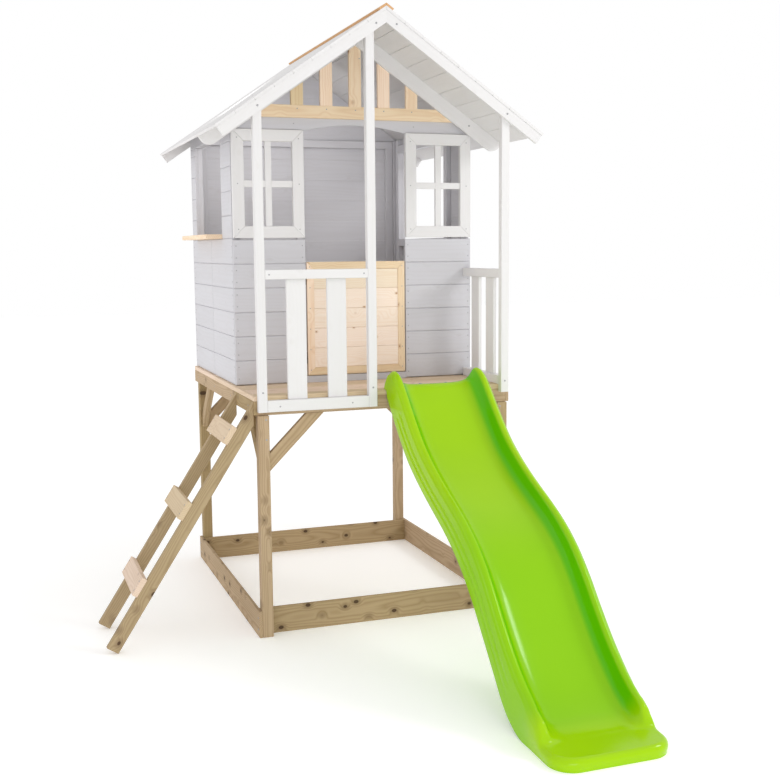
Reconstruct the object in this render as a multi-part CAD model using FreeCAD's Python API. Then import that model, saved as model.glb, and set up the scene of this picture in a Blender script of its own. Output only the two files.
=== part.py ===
"""Children's raised wooden playhouse: tower base, porch, house, gable roof, ladder and slide.

All sizes in millimetres.  X runs left to right, Y runs from the porch back to the rear wall,
Z is up.  The drawing frame has x = 0 on the house's centre line, y = 0 on the front faces of
the tower posts and z = 0 on the ground.  Every piece is moved by SHIFT at the end, so that the
finished part stands on z = 0 with its bounding box centred on x = 0, y = 0.
"""
import FreeCAD, Part
import math
import os

V = FreeCAD.Vector

# ---------------------------------------------------------------- driving dimensions
# tower base
TOWER_W = 1320.0          # over the posts, left to right
TOWER_D = 1620.0          # over the posts, front to back
POST = 55.0               # square tower posts
DECK_Z = 1200.0           # walking surface of the deck
DECK_T = 24.0             # deck board thickness
DECK_BOARDS = 17          # boards across the depth
DECK_GAP = 4.5            # gap between deck boards
BEAM_H = 70.0             # beams under the deck
BEAM_T = 36.0
JOIST_T = 34.0
SIDE_T = 16.0             # ground boards and fascia, bolted on the outside
GROUND_H = 134.0          # ground boards
FASCIA_H = 68.0
BRACE_W = 62.0            # knee braces at 45 degrees
BRACE_T = 30.0
BRACE_DROP = 278.0        # how far below the beams a brace meets its post

# porch
PORCH_POST_W = 44.0
PORCH_POST_D = 36.0
PORCH_FRONT_Y = -22.0     # front faces of the white posts and rails
RIGHT_FOOT = 38.0         # how far the right white post reaches below the deck surface
SLIDE_BAY = 674.0         # clear width between the middle and the right white post
RAIL_H = 45.0
RAIL_TOP = 606.0          # height of the front rail over the deck
SIDE_RAIL_STEP = 12.0     # the side rail sits this much lower
BOTTOM_RAIL_DROP = 76.0   # underside of the bottom rail below the deck surface
BOTTOM_RAIL_H = 56.0
SLAT_W = 96.0
SLAT_T = 18.0

# house
HOUSE_Y = 475.0           # outer face of the front wall
REAR_OVER = 20.0          # how far the rear wall's outer face stands behind the tower
WALL_T = 16.0             # cladding board thickness
CLAD = 125.0              # cladding pitch
CLAD_GAP = 0.6
WALL_FOOT = 4.0           # the front cladding stands this far clear of the deck
FRONT_ROWS = 6            # rows of cladding under the windows
WALL_ROWS = 11            # rows up to the eaves
BATTEN_T = 28.0
BATTEN_W = 44.0
CORNER_GAP = 6.0          # shadow gap between the front panel and the side walls
BUTT_GAP = 3.0            # where the side walls' boards meet end to end
DOORWAY_W = 560.0
WINDOW_GAP = 2.0          # clear of the walls and of the doorway on each side
WINDOW_SILL = 8.0         # underside of the windows over the front cladding
WINDOW_HEAD = 67.0        # top of the windows below the wall top
WINDOW_MEMBER = 60.0
WINDOW_T = 26.0
MUNTIN = 33.0
HATCH_FRONT = 256.0       # from the front end of the side wall to its opening
HATCH_REAR = 128.0        # from the opening to the rear end of the side wall
HATCH_HEAD = 82.0         # top of the side openings below the wall top
SHELF_OUT = 90.0
SHELF_T = 24.0
SHELF_GAP = 2.0
ARCH_SIDE_DROP = 70.0     # arch over the doorway, measured down from the wall top
ARCH_MID_DROP = 35.0

# half door
DOOR_GAP = 7.0            # at each side of the door
DOOR_LIFT = 6.0           # over the threshold
DOOR_H = 596.0
DOOR_T = 18.0
DOOR_FRAME = 38.0
DOOR_ROWS = 5
THRESHOLD_H = 34.0
PIN_R = 2.5               # hinge pins
PIN_PLAY = 0.05           # radial play of the knuckles on the pins
KNUCKLE_R = 5.0
HINGE_LEAF_T = 2.0
HINGE_H = 60.0

# roof
ROOF_SLOPE = 0.687        # rise over run
ROOF_CLEAR = 2.6          # the roof boards pass this far over the corners of the walls
EAVE = 173.0              # overhang at each side, measured level
VERGE = 20.0              # overhang behind the rear wall
ROOF_BOARD_T = 14.0
ROOF_BOARDS = 9           # boards on each slope
BARGE_T = 18.0
BARGE_W = 50.0            # front and rear barge boards
INNER_BARGE_W = 72.0      # pair in front of the house wall
SQUARE_R = 3.0            # eased lower corner of the square-cut boards
CAP_W = 46.0
CAP_T = 11.0
TRUSS_H = 64.0
TRUSS_T = 18.0
TRUSS_SLATS = 5
TRUSS_SLAT_W = 65.0
TRUSS_PITCH = 157.0

# ladder
RAIL_W = 62.0             # depth of the ladder rails
RAIL_T = 32.0
LADDER_INSET = 15.0       # front rail behind the white post
LADDER_BACK = 26.0        # rear rail in front of the house wall
LADDER_DROP = 4.0         # top of the rails below the underside of the deck boards
LADDER_RUN = 0.6429       # level run per unit of height
RUNG_W = 95.0
RUNG_T = 28.0
RUNGS = 3
RUNG_FIRST = 304.0        # height of the lowest rung
RUNG_LAST_DROP = 164.0    # highest rung below the top of the rails

# slide
SLIDE_GAP = 54.0          # from the middle white post to the slide
SLIDE_HALF = 262.0        # half the width over the skirts
SLIDE_SKIN = 5.0
SLIDE_RIM = 85.0          # rim height above the bed
SLIDE_DRAWN_DECK = 1200.0 # deck height that the bed line is drawn for
TOE_FRONT_Y = -1842.0     # front of the slide's foot
TOE_BACK_Y = -1764.0
TOE_TOP = 54.0
TOE_R = 118.0             # its rounded corners, seen from above

# small fastenings
SCREW_R = 4.0
SCREW_H = 1.4

# ---------------------------------------------------------------- sizes that follow from them
HALF_W = TOWER_W / 2.0
BEAM_TOP = DECK_Z - DECK_T
BEAM_BOT = BEAM_TOP - BEAM_H
PORCH_BACK_Y = PORCH_FRONT_Y + PORCH_POST_D
LEFT_POST_X = -HALF_W + PORCH_POST_W / 2.0
RIGHT_POST_X = HALF_W - PORCH_POST_W / 2.0
MID_POST_X = RIGHT_POST_X - SLIDE_BAY - PORCH_POST_W
RAIL_TOP_Z = DECK_Z + RAIL_TOP
BOTTOM_RAIL_Z = DECK_Z - BOTTOM_RAIL_DROP
PORCH_POSTS = (
    (LEFT_POST_X, BOTTOM_RAIL_Z),
    (MID_POST_X, BOTTOM_RAIL_Z),
    (RIGHT_POST_X, DECK_Z - RIGHT_FOOT),
)
HOUSE_REAR_Y = TOWER_D + REAR_OVER
WALL_Z = DECK_Z + WALL_FOOT
WALL_TOP = WALL_Z + WALL_ROWS * CLAD
PANEL_TOP = WALL_Z + FRONT_ROWS * CLAD
DOORWAY_HALF = DOORWAY_W / 2.0
WINDOW_W = HALF_W - DOORWAY_HALF - 2.0 * WINDOW_GAP
WINDOW_Z0 = PANEL_TOP + WINDOW_SILL
WINDOW_Z1 = WALL_TOP - WINDOW_HEAD
SIDE_Y0 = HOUSE_Y + WALL_T + CORNER_GAP
SIDE_Y1 = HOUSE_REAR_Y - WALL_T
HATCH_Y0 = SIDE_Y0 + HATCH_FRONT
HATCH_Y1 = SIDE_Y1 - HATCH_REAR
HATCH_Z0 = WINDOW_Z0
HATCH_Z1 = WALL_TOP - HATCH_HEAD
DOOR_W = DOORWAY_W - 2.0 * DOOR_GAP
DOOR_Z0 = DECK_Z + THRESHOLD_H + DOOR_LIFT
DOOR_Z1 = DOOR_Z0 + DOOR_H
ROOF_HALF = HALF_W + EAVE
ROOF_FRONT_Y = PORCH_FRONT_Y - BARGE_T
ROOF_REAR_Y = HOUSE_REAR_Y + VERGE
COS_R = 1.0 / math.hypot(1.0, ROOF_SLOPE)
UNDER_APEX_Z = WALL_TOP + ROOF_SLOPE * HALF_W + ROOF_CLEAR
ROOF_APEX_Z = UNDER_APEX_Z + ROOF_BOARD_T / COS_R
LADDER_Y = (PORCH_BACK_Y + LADDER_INSET, HOUSE_Y - LADDER_BACK - RAIL_T)
LADDER_TOP_Z = BEAM_TOP - LADDER_DROP
RUNG_PITCH = (LADDER_TOP_Z - RUNG_LAST_DROP - RUNG_FIRST) / (RUNGS - 1)
RUNG_Z = [RUNG_FIRST + i * RUNG_PITCH for i in range(RUNGS)]
SLIDE_X = MID_POST_X + PORCH_POST_W / 2.0 + SLIDE_GAP + SLIDE_HALF

pieces = {}


# ---------------------------------------------------------------- helpers
def box(x0, x1, y0, y1, z0, z1, ease=1.5):
    """A board given by its limits, with eased edges."""
    b = Part.makeBox(x1 - x0, y1 - y0, z1 - z0, V(x0, y0, z0))
    if ease > 0:
        b = b.makeChamfer(ease, b.Edges)
    return b


def prism_y(points, y0, y1):
    """A closed (x, z) outline extruded from y0 to y1."""
    pts = [V(x, y0, z) for x, z in points]
    wire = Part.makePolygon(pts + [pts[0]])
    return Part.Face(wire).extrude(V(0, y1 - y0, 0))


def prism_x(points, x0, x1):
    """A closed (y, z) outline extruded from x0 to x1."""
    pts = [V(x0, y, z) for y, z in points]
    wire = Part.makePolygon(pts + [pts[0]])
    return Part.Face(wire).extrude(V(x1 - x0, 0, 0))


def prism_z(points, z0, z1):
    """A closed (x, y) outline extruded from z0 to z1."""
    pts = [V(x, y, z0) for x, y in points]
    wire = Part.makePolygon(pts + [pts[0]])
    return Part.Face(wire).extrude(V(0, 0, z1 - z0))


def under_roof(x, clear=1.0):
    """Height of the underside of the roof boards at a distance x from the ridge."""
    return UNDER_APEX_Z - ROOF_SLOPE * abs(x) - clear


def roof_half_width(z, clear=1.5):
    """How far from the ridge the roof underside is at height z."""
    return (UNDER_APEX_Z - clear - z) / ROOF_SLOPE


def clad_x(x0, x1, y_out, z0, z1, inward):
    """A cladding board that runs in X, with bevelled outer edges."""
    c = 3.5
    y1 = y_out + inward * WALL_T
    s = inward * c
    za = z0 + CLAD_GAP / 2.0
    zb = z1 - CLAD_GAP / 2.0
    pts = [(y_out + s, za), (y_out, za + c), (y_out, zb - c), (y_out + s, zb), (y1, zb), (y1, za)]
    return prism_x(pts, x0, x1)


def clad_y(y0, y1, x_out, z0, z1, inward):
    """A cladding board that runs in Y, with bevelled outer edges."""
    c = 3.5
    x1 = x_out + inward * WALL_T
    s = inward * c
    za = z0 + CLAD_GAP / 2.0
    zb = z1 - CLAD_GAP / 2.0
    pts = [(x_out + s, za), (x_out, za + c), (x_out, zb - c), (x_out + s, zb), (x1, zb), (x1, za)]
    return prism_y(pts, y0, y1)


def screw(x, y, z, axis, r=SCREW_R, h=SCREW_H):
    """A low domed screw head that sits on a surface and points along axis."""
    base = Part.makeCylinder(r, h * 0.45, V(x, y, z), axis)
    n = V(axis).normalize()
    cap = Part.makeCone(r, r * 0.55, h * 0.55, V(x, y, z) + n * (h * 0.45), axis)
    return base.fuse(cap).removeSplitter()


def add(name, shapes):
    pieces[name] = Part.makeCompound(shapes) if len(shapes) > 1 else shapes[0]


FRONT = V(0, -1, 0)
BACK = V(0, 1, 0)
LEFT = V(-1, 0, 0)
RIGHT = V(1, 0, 0)
UP = V(0, 0, 1)

# ---------------------------------------------------------------- tower base
posts = []
for x0 in (-HALF_W, HALF_W - POST):
    for y0 in (0.0, TOWER_D - POST):
        posts.append(box(x0, x0 + POST, y0, y0 + POST, 0, BEAM_BOT, 2.5))
add("tower_posts", posts)

side_boards = []
for s in (-1, 1):
    x0 = min(s * HALF_W, s * (HALF_W + SIDE_T))
    side_boards.append(box(x0, x0 + SIDE_T, 0, TOWER_D, 0, GROUND_H, 2.0))
for y0 in (POST, TOWER_D - POST - SIDE_T):
    side_boards.append(box(-HALF_W, HALF_W, y0, y0 + SIDE_T, 0, GROUND_H, 2.0))
add("ground_boards", side_boards)

front_beam_y = PORCH_BACK_Y
rear_beam_y = TOWER_D - BEAM_T
beams = [
    box(-HALF_W, HALF_W, front_beam_y, front_beam_y + BEAM_T, BEAM_BOT, BEAM_TOP, 2.0),
    box(-HALF_W, HALF_W, rear_beam_y, TOWER_D, BEAM_BOT, BEAM_TOP, 2.0),
    box(-HALF_W, -HALF_W + BEAM_T, front_beam_y + BEAM_T, rear_beam_y, BEAM_BOT, BEAM_TOP, 2.0),
    box(HALF_W - BEAM_T, HALF_W, front_beam_y + BEAM_T, rear_beam_y, BEAM_BOT, BEAM_TOP, 2.0),
]
add("deck_beams", beams)

joists = []
for xc in (-HALF_W / 2.0, 0.0, HALF_W / 2.0):
    j = box(xc - JOIST_T / 2, xc + JOIST_T / 2, front_beam_y + BEAM_T, rear_beam_y, BEAM_BOT, BEAM_TOP, 2.0)
    joists.append(j)
add("deck_joists", joists)

# knee braces: one each way from every post, cut plumb against the post and level under the beam
braces = []
foot_z = BEAM_BOT - BRACE_DROP
rise = BRACE_W * math.sqrt(2.0)
for sx in (-1, 1):
    for yc in (POST / 2.0, TOWER_D - POST / 2.0):
        xp = sx * (HALF_W - POST)
        outline = [
            (xp, foot_z),
            (xp, foot_z + rise),
            (xp - sx * (BRACE_DROP - rise), BEAM_BOT),
            (xp - sx * BRACE_DROP, BEAM_BOT),
        ]
        y_low = yc - BRACE_T / 2.0
        b = prism_y(outline, y_low, y_low + BRACE_T)
        braces.append(b.makeChamfer(1.5, b.Edges))
for sx in (-1, 1):
    for sy, yp in ((1, POST), (-1, TOWER_D - POST)):
        outline = [
            (yp, foot_z),
            (yp, foot_z + rise),
            (yp + sy * (BRACE_DROP - rise), BEAM_BOT),
            (yp + sy * BRACE_DROP, BEAM_BOT),
        ]
        xc = sx * (HALF_W - POST / 2.0)
        b = prism_x(outline, xc - BRACE_T / 2.0, xc + BRACE_T / 2.0)
        braces.append(b.makeChamfer(1.5, b.Edges))
add("knee_braces", braces)

# deck boards run in X; the first starts behind the porch posts
deck = []
deck_y0 = PORCH_BACK_Y
pitch = (TOWER_D - deck_y0 + DECK_GAP) / DECK_BOARDS
for i in range(DECK_BOARDS):
    y0 = deck_y0 + i * pitch
    deck.append(box(-HALF_W, HALF_W, y0, y0 + pitch - DECK_GAP, BEAM_TOP, DECK_Z, 2.0))
add("deck_boards", deck)

# fascia with an edge strip above it, in three lengths on each side
fascia = []
edges = []
for s in (-1, 1):
    x0 = min(s * HALF_W, s * (HALF_W + SIDE_T))
    cuts = (PORCH_BACK_Y, HOUSE_Y, (HOUSE_Y + TOWER_D) / 2.0 - 57.0, TOWER_D)
    fascia.append(box(x0, x0 + SIDE_T, cuts[0], HOUSE_Y - 0.5, BEAM_TOP - FASCIA_H, BEAM_TOP, 1.5))
    fascia.append(box(x0, x0 + SIDE_T, HOUSE_Y + 0.5, TOWER_D, BEAM_TOP - FASCIA_H, BEAM_TOP, 1.5))
    for a, b in zip(cuts[:-1], cuts[1:]):
        edges.append(box(x0, x0 + SIDE_T, a + 0.5, b - 0.5, BEAM_TOP, DECK_Z, 1.5))
add("deck_fascia", fascia)
add("deck_edge_strips", edges)

# ---------------------------------------------------------------- porch
porch_posts = []
for xc, foot_z in PORCH_POSTS:
    xa = xc - PORCH_POST_W / 2.0
    xb = xc + PORCH_POST_W / 2.0
    pts = [(xa, foot_z), (xa, under_roof(xa)), (xb, under_roof(xb)), (xb, foot_z)]
    p = prism_y(pts, PORCH_FRONT_Y, PORCH_BACK_Y)
    upright = [e for e in p.Edges if abs(e.tangentAt(e.FirstParameter).z) > 0.99]
    porch_posts.append(p.makeChamfer(2.5, upright))
add("porch_posts", porch_posts)

bay_x0 = LEFT_POST_X + PORCH_POST_W / 2.0
bay_x1 = MID_POST_X - PORCH_POST_W / 2.0
rail_z0 = RAIL_TOP_Z - RAIL_H
front_rail = [
    box(bay_x0, bay_x1, PORCH_FRONT_Y, PORCH_BACK_Y, rail_z0, RAIL_TOP_Z, 2.0),
    box(bay_x0, bay_x1, PORCH_FRONT_Y, PORCH_BACK_Y, BOTTOM_RAIL_Z, BOTTOM_RAIL_Z + BOTTOM_RAIL_H, 2.0),
]
add("front_rails", front_rail)

slats = []
gap = (bay_x1 - bay_x0 - 2 * SLAT_W) / 3.0
slat_y = PORCH_BACK_Y - SLAT_T
for i in range(2):
    x0 = bay_x0 + gap + i * (SLAT_W + gap)
    slats.append(box(x0, x0 + SLAT_W, slat_y, PORCH_BACK_Y, BOTTOM_RAIL_Z + BOTTOM_RAIL_H, rail_z0, 1.5))
add("front_rail_slats", slats)

side_rail_z0 = rail_z0 - SIDE_RAIL_STEP
side_x0 = RIGHT_POST_X - PORCH_POST_W / 2.0
side_x1 = RIGHT_POST_X + PORCH_POST_W / 2.0
side_rail = [
    box(side_x0, side_x1, PORCH_BACK_Y, HOUSE_Y, side_rail_z0, side_rail_z0 + RAIL_H, 2.0),
    box(side_x0, side_x1, PORCH_BACK_Y, HOUSE_Y, DECK_Z, DECK_Z + RAIL_H, 2.0),
]
add("side_rails", side_rail)

side_slats = []
gap = (HOUSE_Y - PORCH_BACK_Y - 2 * SLAT_W) / 3.0
for i in range(2):
    y0 = PORCH_BACK_Y + gap + i * (SLAT_W + gap)
    xc = RIGHT_POST_X
    side_slats.append(
        box(xc - SLAT_T / 2, xc + SLAT_T / 2, y0, y0 + SLAT_W, DECK_Z + RAIL_H, side_rail_z0, 1.5)
    )
add("side_rail_slats", side_slats)

# ---------------------------------------------------------------- house walls
for name, xa, xb in (
    ("front_wall_left", -HALF_W, -DOORWAY_HALF),
    ("front_wall_right", DOORWAY_HALF, HALF_W),
):
    rows = []
    for i in range(FRONT_ROWS):
        z0 = WALL_Z + i * CLAD
        rows.append(clad_x(xa, xb, HOUSE_Y, z0, z0 + CLAD, 1))
    add(name, rows)

# header over the doorway and windows, with a shallow arch over the doorway
arch = []
ARCH_STEPS = 14
for i in range(ARCH_STEPS + 1):
    u = -1.0 + 2.0 * i / ARCH_STEPS
    drop = ARCH_MID_DROP + (ARCH_SIDE_DROP - ARCH_MID_DROP) * u * u
    arch.append((DOORWAY_HALF * u, WALL_TOP - drop))
header_z = WINDOW_Z1 + WINDOW_GAP
header = [(-HALF_W, WALL_TOP), (-HALF_W, header_z), (-DOORWAY_HALF, header_z)]
header += arch
header += [(DOORWAY_HALF, header_z), (HALF_W, header_z), (HALF_W, WALL_TOP)]
add("front_header", [prism_y(header, HOUSE_Y, HOUSE_Y + WALL_T)])

threshold = [box(-DOORWAY_HALF, DOORWAY_HALF, HOUSE_Y, HOUSE_Y + WALL_T, DECK_Z, DECK_Z + THRESHOLD_H, 1.5)]
add("threshold", threshold)

# side walls: full boards below and above the opening, short ones beside it
SLIVER = 15.0             # a strip narrower than this is left on the board below it
side_mid = (SIDE_Y0 + SIDE_Y1) / 2.0


def joint_z(i):
    """Height of the joint under cladding row i of a side wall."""
    z = DECK_Z if i == 0 else WALL_Z + i * CLAD
    for edge in (HATCH_Z0, HATCH_Z1):
        if 0.0 < abs(edge - z) < SLIVER:
            z = edge
    return z


for name, s in (("side_wall_left", -1), ("side_wall_right", 1)):
    boards = []
    for i in range(WALL_ROWS):
        levels = [joint_z(i), joint_z(i + 1)]
        levels += [z for z in (HATCH_Z0, HATCH_Z1) if levels[0] < z < levels[1]]
        levels.sort()
        for z0, z1 in zip(levels[:-1], levels[1:]):
            beside_opening = z0 >= HATCH_Z0 and z1 <= HATCH_Z1
            y_front = HATCH_Y0 if beside_opening else side_mid - BUTT_GAP / 2.0
            y_rear = HATCH_Y1 if beside_opening else side_mid + BUTT_GAP / 2.0
            boards.append(clad_y(SIDE_Y0, y_front, s * HALF_W, z0, z1, -s))
            boards.append(clad_y(y_rear, SIDE_Y1, s * HALF_W, z0, z1, -s))
    add(name, boards)

# rear wall and its gable
rear = []
for i in range(WALL_ROWS):
    z0 = WALL_Z + i * CLAD
    if i == 0:
        rear.append(clad_x(-HALF_W, HALF_W, HOUSE_REAR_Y, DECK_Z, z0 + CLAD, -1))
    else:
        rear.append(clad_x(-HALF_W, HALF_W, HOUSE_REAR_Y, z0, z0 + CLAD, -1))
add("rear_wall", rear)

gable = []
z0 = WALL_TOP
gable_top = under_roof(0.0) - 6.0
while z0 < gable_top:
    z1 = z0 + CLAD
    if gable_top - z1 < 40.0:
        z1 = gable_top
    za = z0 + CLAD_GAP / 2.0
    zb = z1 - CLAD_GAP / 2.0
    wa = min(HALF_W, roof_half_width(za))
    wb = roof_half_width(zb)
    outline = [(-wa, za), (wa, za), (wb, zb), (-wb, zb)]
    gable.append(prism_y(outline, HOUSE_REAR_Y - WALL_T, HOUSE_REAR_Y))
    z0 = z1
add("rear_gable", gable)

# inner framing that the cladding is screwed to
frame = []
in_x = HALF_W - WALL_T
for s in (-1, 1):
    for y0 in (SIDE_Y0, HATCH_Y0 - BATTEN_W, HATCH_Y1, SIDE_Y1 - BATTEN_W):
        x0 = min(s * in_x, s * (in_x - BATTEN_T))
        frame.append(box(x0, x0 + BATTEN_T, y0, y0 + BATTEN_W, DECK_Z, WALL_TOP - 4.0, 1.5))
    for y0, y1 in ((SIDE_Y0 + BATTEN_W, HATCH_Y0 - BATTEN_W), (HATCH_Y1 + BATTEN_W, SIDE_Y1 - BATTEN_W)):
        frame.append(box(x0, x0 + BATTEN_T, y0, y1, DECK_Z, DECK_Z + BATTEN_W, 1.5))
    frame.append(box(x0, x0 + BATTEN_T, HATCH_Y0, HATCH_Y1, DECK_Z, DECK_Z + BATTEN_W, 1.5))
    frame.append(box(x0, x0 + BATTEN_T, HATCH_Y0, HATCH_Y1, HATCH_Z0 - BATTEN_W, HATCH_Z0, 1.5))
    frame.append(box(x0, x0 + BATTEN_T, HATCH_Y0, HATCH_Y1, HATCH_Z1, HATCH_Z1 + BATTEN_W, 1.5))
add("side_wall_frames", frame)

front_frame = []
fy0 = HOUSE_Y + WALL_T
fy1 = fy0 + BATTEN_T
frame_x = HALF_W - WALL_T - BATTEN_T - 2.0
HINGE_ROOM = 40.0         # bare back of the wall for the hinge leaves
for s in (-1, 1):
    xa = min(s * (DOORWAY_HALF + HINGE_ROOM), s * (DOORWAY_HALF + HINGE_ROOM + BATTEN_W))
    front_frame.append(box(xa, xa + BATTEN_W, fy0, fy1, DECK_Z, PANEL_TOP - 4.0, 1.5))
    xb = min(s * frame_x, s * (frame_x - BATTEN_W))
    front_frame.append(box(xb, xb + BATTEN_W, fy0, fy1, DECK_Z, PANEL_TOP - 4.0, 1.5))
front_frame.append(box(-frame_x, frame_x, fy0, fy1, WALL_TOP - ARCH_MID_DROP + 2.0, WALL_TOP - 4.0, 1.5))
add("front_wall_frame", front_frame)

rear_frame = []
ry1 = HOUSE_REAR_Y - WALL_T
ry0 = ry1 - BATTEN_T
rear_x = HALF_W - WALL_T - BATTEN_T - 2.0
for xc in (-rear_x + BATTEN_W / 2, 0.0, rear_x - BATTEN_W / 2):
    rear_frame.append(box(xc - BATTEN_W / 2, xc + BATTEN_W / 2, ry0, ry1, DECK_Z, WALL_TOP - 50.0, 1.5))
rear_frame.append(box(-rear_x, rear_x, ry0, ry1, WALL_TOP - 50.0, WALL_TOP - 6.0, 1.5))
add("rear_wall_frame", rear_frame)

# serving shelf in the left opening
shelf_x0 = -HALF_W - SHELF_OUT
shelf_x1 = -HALF_W + WALL_T + BATTEN_T
shelf_y0 = HATCH_Y0 + SHELF_GAP
shelf_y1 = HATCH_Y1 - SHELF_GAP
add("serving_shelf", [box(shelf_x0, shelf_x1, shelf_y0, shelf_y1, HATCH_Z0, HATCH_Z0 + SHELF_T, 2.0)])


# ---------------------------------------------------------------- front windows
def window(x0):
    """A mitred four-pane frame without glass; x0 is its left side."""
    x1 = x0 + WINDOW_W
    m = WINDOW_MEMBER
    y0 = HOUSE_Y + WALL_T - WINDOW_T
    y1 = HOUSE_Y + WALL_T
    z0 = WINDOW_Z0
    z1 = WINDOW_Z1
    g = 0.25
    out = [
        prism_y([(x0, z0 + g), (x0, z1 - g), (x0 + m, z1 - m - g), (x0 + m, z0 + m + g)], y0, y1),
        prism_y([(x1, z0 + g), (x1 - m, z0 + m + g), (x1 - m, z1 - m - g), (x1, z1 - g)], y0, y1),
        prism_y([(x0 + g, z1), (x1 - g, z1), (x1 - m - g, z1 - m), (x0 + m + g, z1 - m)], y0, y1),
        prism_y([(x0 + g, z0), (x0 + m + g, z0 + m), (x1 - m - g, z0 + m), (x1 - g, z0)], y0, y1),
    ]
    for i, member in enumerate(out):
        face_edges = [e for e in member.Edges if e.BoundBox.YMax < y0 + 0.01]
        out[i] = member.makeChamfer(1.5, face_edges)
    xc = (x0 + x1) / 2.0
    zc = (z0 + z1) / 2.0
    ym0 = y0 + 5.0
    ym1 = y1 - 5.0
    out.append(box(xc - MUNTIN / 2, xc + MUNTIN / 2, ym0, ym1, z0 + m, z1 - m, 1.0))
    out.append(box(x0 + m, xc - MUNTIN / 2, ym0, ym1, zc - MUNTIN / 2, zc + MUNTIN / 2, 1.0))
    out.append(box(xc + MUNTIN / 2, x1 - m, ym0, ym1, zc - MUNTIN / 2, zc + MUNTIN / 2, 1.0))
    return out


add("window_frame_left", window(-HALF_W + WINDOW_GAP))
add("window_frame_right", window(HALF_W - WINDOW_GAP - WINDOW_W))

# ---------------------------------------------------------------- half door on two butt hinges
door_x0 = -DOOR_W / 2.0
door_x1 = DOOR_W / 2.0
door_y1 = HOUSE_Y + WALL_T
door_y0 = door_y1 - DOOR_T
f = DOOR_FRAME
g = 0.25
door_frame = [
    prism_y([(door_x0, DOOR_Z0 + g), (door_x0, DOOR_Z1 - g), (door_x0 + f, DOOR_Z1 - f - g),
             (door_x0 + f, DOOR_Z0 + f + g)], door_y0, door_y1),
    prism_y([(door_x1, DOOR_Z0 + g), (door_x1 - f, DOOR_Z0 + f + g), (door_x1 - f, DOOR_Z1 - f - g),
             (door_x1, DOOR_Z1 - g)], door_y0, door_y1),
    prism_y([(door_x0 + g, DOOR_Z1), (door_x1 - g, DOOR_Z1), (door_x1 - f - g, DOOR_Z1 - f),
             (door_x0 + f + g, DOOR_Z1 - f)], door_y0, door_y1),
    prism_y([(door_x0 + g, DOOR_Z0), (door_x0 + f + g, DOOR_Z0 + f), (door_x1 - f - g, DOOR_Z0 + f),
             (door_x1 - g, DOOR_Z0)], door_y0, door_y1),
]
add("door_frame", [p.makeChamfer(1.0, p.Edges) for p in door_frame])

door_boards = []
inner_z0 = DOOR_Z0 + f
row = (DOOR_Z1 - DOOR_Z0 - 2 * f) / DOOR_ROWS
for i in range(DOOR_ROWS):
    za = inner_z0 + i * row + 0.3
    zb = inner_z0 + (i + 1) * row - 0.3
    ya = door_y0 + 4.0
    yb = door_y1 - 2.0
    c = 2.5
    pts = [(ya + c, za), (ya, za + c), (ya, zb - c), (ya + c, zb), (yb, zb), (yb, za)]
    door_boards.append(prism_x(pts, door_x0 + f, door_x1 - f))
add("door_boards", door_boards)

# the hinge axis stands behind the wall boards, in the gap at the door's left edge
PIVOT_X = -(DOOR_W + DOORWAY_W) / 4.0
PIVOT_Y = door_y1 + KNUCKLE_R + 1.0
hinge_z = (DOOR_Z0 + 90.0, DOOR_Z1 - 90.0)
pins = []
wall_leaves = []
door_leaves = []
for zc in hinge_z:
    z0 = zc - HINGE_H / 2.0
    third = HINGE_H / 3.0
    pin = Part.makeCylinder(PIN_R, HINGE_H, V(PIVOT_X, PIVOT_Y, z0))
    head = Part.makeCylinder(PIN_R + 1.4, 2.0, V(PIVOT_X, PIVOT_Y, z0 + HINGE_H))
    pins.append(pin.fuse(head).removeSplitter())
    tight = Part.makeCylinder(PIN_R, HINGE_H + 2.0, V(PIVOT_X, PIVOT_Y, z0 - 1.0))
    loose = Part.makeCylinder(PIN_R + PIN_PLAY, HINGE_H + 2.0, V(PIVOT_X, PIVOT_Y, z0 - 1.0))
    # wall leaf: outer two knuckles; door leaf: the middle knuckle
    y_leaf0 = door_y1
    wall_leaf = Part.makeBox(38.0, HINGE_LEAF_T, HINGE_H, V(PIVOT_X - 40.0, y_leaf0, z0))
    for zk in (z0, z0 + 2 * third):
        knuckle = Part.makeCylinder(KNUCKLE_R, third - 0.3, V(PIVOT_X, PIVOT_Y, zk + 0.15))
        web_at = V(PIVOT_X - KNUCKLE_R, y_leaf0, zk + 0.15)
        web = Part.makeBox(KNUCKLE_R, KNUCKLE_R + 1.0, third - 0.3, web_at)
        wall_leaf = wall_leaf.fuse(knuckle).fuse(web)
    cut_mid = Part.makeBox(12.0, 14.0, third + 0.3, V(PIVOT_X - 6.5, y_leaf0 - 1.0, z0 + third - 0.15))
    wall_leaf = wall_leaf.cut(cut_mid).cut(tight).removeSplitter()
    wall_leaves.append(wall_leaf)
    door_leaf = Part.makeBox(38.0, HINGE_LEAF_T, HINGE_H, V(door_x0 + 1.5, y_leaf0, z0))
    knuckle = Part.makeCylinder(KNUCKLE_R, third - 0.6, V(PIVOT_X, PIVOT_Y, z0 + third + 0.3))
    web = Part.makeBox(KNUCKLE_R + 3.0, 2.6, third - 0.6, V(PIVOT_X, y_leaf0, z0 + third + 0.3))
    door_leaf = door_leaf.fuse(web).fuse(knuckle)
    door_leaf = door_leaf.cut(loose).removeSplitter()
    door_leaves.append(door_leaf)
add("hinge_pins", pins)
add("hinge_wall_leaves", wall_leaves)
add("hinge_door_leaves", door_leaves)

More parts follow.
